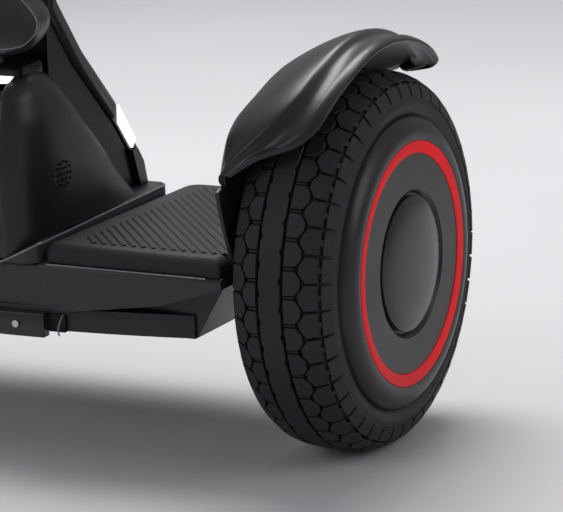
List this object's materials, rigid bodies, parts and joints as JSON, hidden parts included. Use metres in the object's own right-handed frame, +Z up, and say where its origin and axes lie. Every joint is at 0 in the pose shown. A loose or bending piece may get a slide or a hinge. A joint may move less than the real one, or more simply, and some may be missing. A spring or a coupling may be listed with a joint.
{
  "type": "self balancing hoverboard",
  "caption": "Two-wheeled self-balancing platform with hub-motor wheels, mudguards, foot mats and a central hump that carries a leaning, height-adjustable knee bar.",
  "frame": {"origin": "on the ground, midway between the wheels, below the axle line", "axes": "+X to the right wheel along the axle line, +Y to the rear of the machine, +Z up"},
  "size_m": [0.5446, 0.26, 0.5891],
  "materials": {
    "tyre": "satin rubber",
    "mat": "matte",
    "shell": "satin",
    "gloss": "gloss",
    "frame": "black coated",
    "steel": "machined",
    "alloy": "cast",
    "red": "gloss",
    "lamp": "translucent white",
    "board": "lacquered",
    "cell": "sleeved cans",
    "magnet": "sintered",
    "pad": "soft touch",
    "brass": "machined"
  },
  "bodies": {
    "platform": {"chassis_frame": "frame", "battery_case": "shell", "battery_cells": "cell", "foot_sensors": "mat", "axle_clamps": "alloy", "controller_board": "board", "gyro_board": "board", "charge_port": "shell", "latch_housing": "shell", "bottom_screws": "steel", "fender_screws": "steel", "skirt_trim": "shell", "spine_cover": "shell", "rear_lights": "lamp", "hump_core": "gloss", "front_hood": "shell", "speaker": "shell", "column_collar": "shell", "headlight_lens": "lamp", "pivot_bearings": "steel", "foot_mat_left": "mat", "foot_mat_right": "mat", "axle_left": "steel", "axle_right": "steel", "stator_left": "magnet", "stator_right": "magnet", "fender_left": "shell", "fender_right": "shell"},
    "wheel_left": {"tyre_left": "tyre", "rim_left": "alloy", "inner_cover_left": "frame", "hub_cover_left": "shell", "accent_ring_left": "red", "centre_cap_left": "shell", "magnet_ring_left": "magnet", "wheel_bearings_left": "steel", "valve_left": "brass"},
    "wheel_right": {"tyre_right": "tyre", "rim_right": "alloy", "inner_cover_right": "frame", "hub_cover_right": "shell", "accent_ring_right": "red", "centre_cap_right": "shell", "magnet_ring_right": "magnet", "wheel_bearings_right": "steel", "valve_right": "brass"},
    "column": {"pivot_shaft": "steel", "centring_spring": "steel", "column_knuckle": "frame", "pivot_cover": "shell", "column_tube": "frame", "height_clamp": "frame"},
    "knee_bar": {"inner_tube": "alloy", "knee_head": "frame", "knee_pad_left": "pad", "knee_pad_right": "pad"},
    "lever": {"clamp_lever": "frame"},
    "button": {"power_button": "gloss"},
    "flap": {"charge_port_flap": "shell"},
    "release": {"battery_release": "steel"}
  },
  "joints": [
    {"name": "wheel_left_turn", "type": "hinge", "parent": "platform", "child": "wheel_left", "pos_m": [-0.2275, 0, 0.13], "axis": [1, 0, 0], "continuous": true},
    {"name": "wheel_right_turn", "type": "hinge", "parent": "platform", "child": "wheel_right", "pos_m": [0.2275, 0, 0.13], "axis": [1, 0, 0], "continuous": true},
    {"name": "steering_lean", "type": "hinge", "parent": "platform", "child": "column", "pos_m": [0, -0.07, 0.288], "axis": [0, 1, 0], "range_deg": [-15, 15], "stiffness_Nm_per_rad": 30},
    {"name": "knee_bar_height", "type": "slide", "parent": "column", "child": "knee_bar", "axis": [0, 0.1219, 0.9925], "range_m": [0, 0.13]},
    {"name": "clamp_lever_swing", "type": "hinge", "parent": "column", "child": "lever", "pos_m": [0, -0.09792, 0.5116], "axis": [-1, 0, 0], "range_deg": [0, 110]},
    {"name": "power_button_press", "type": "slide", "parent": "platform", "child": "button", "axis": [0, -1, 0], "range_m": [0, 0.002], "stiffness_N_per_m": 600},
    {"name": "charge_flap_swing", "type": "hinge", "parent": "platform", "child": "flap", "pos_m": [0.062, 0.1072, 0.131], "axis": [1, 0, 0], "range_deg": [0, 100]},
    {"name": "battery_release_press", "type": "slide", "parent": "platform", "child": "release", "axis": [0, 1, 0], "range_m": [0, 0.0025], "stiffness_N_per_m": 800}
  ]
}
